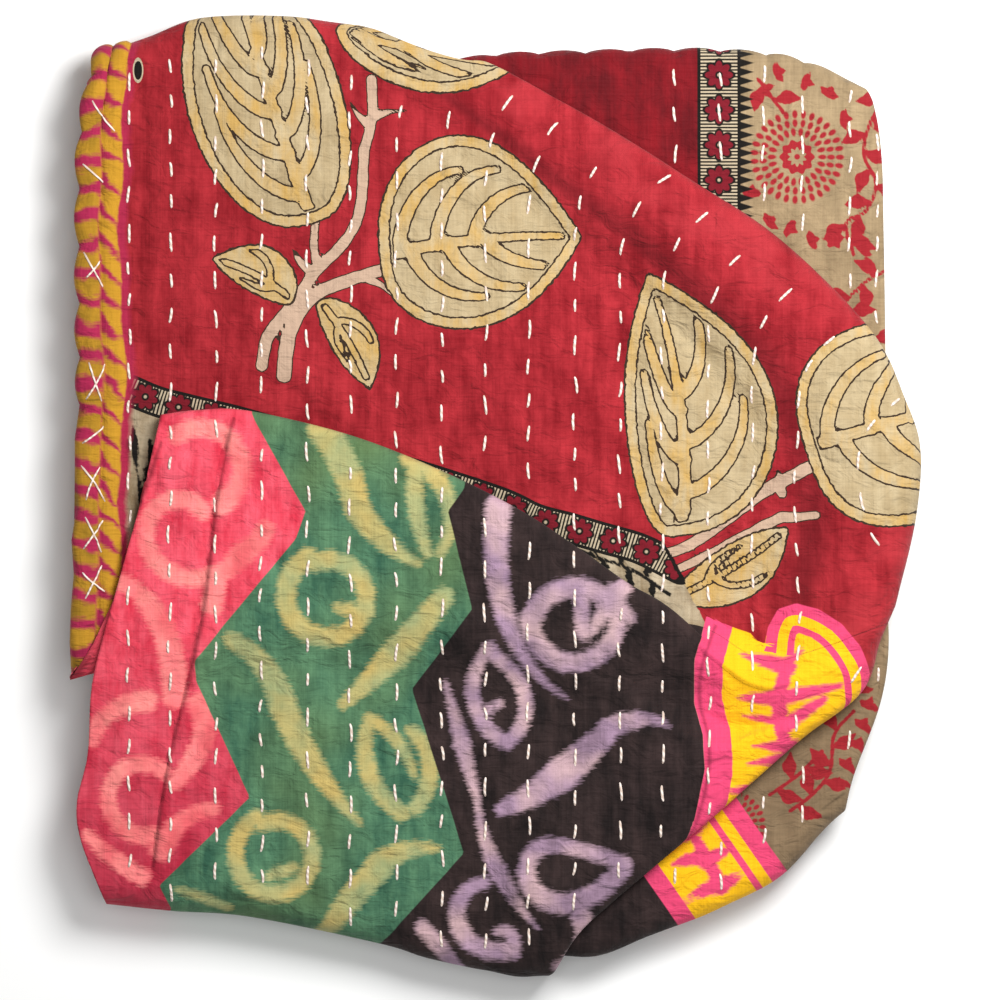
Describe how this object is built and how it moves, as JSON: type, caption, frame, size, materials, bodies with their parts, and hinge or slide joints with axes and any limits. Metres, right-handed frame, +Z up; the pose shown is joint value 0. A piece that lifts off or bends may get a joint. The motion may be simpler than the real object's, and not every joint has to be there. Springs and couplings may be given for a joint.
{
  "type": "folded kantha quilt",
  "caption": "Lap-size patchwork cotton quilt with running-stitch quilting, folded into an uneven flat packet with its top corner turned back.",
  "frame": {"origin": "bottom centre of the folded packet's bounding box, on the surface it lies on", "axes": "+Z up out of the pile; +Y towards the packet's back fold, its longest side; +X towards its right, doubled edge"},
  "size_m": [0.4254, 0.4816, 0.0501],
  "materials": {
    "quilt": "matte"
  },
  "bodies": {
    "root": {"quilt": "quilt"}
  },
  "joints": []
}
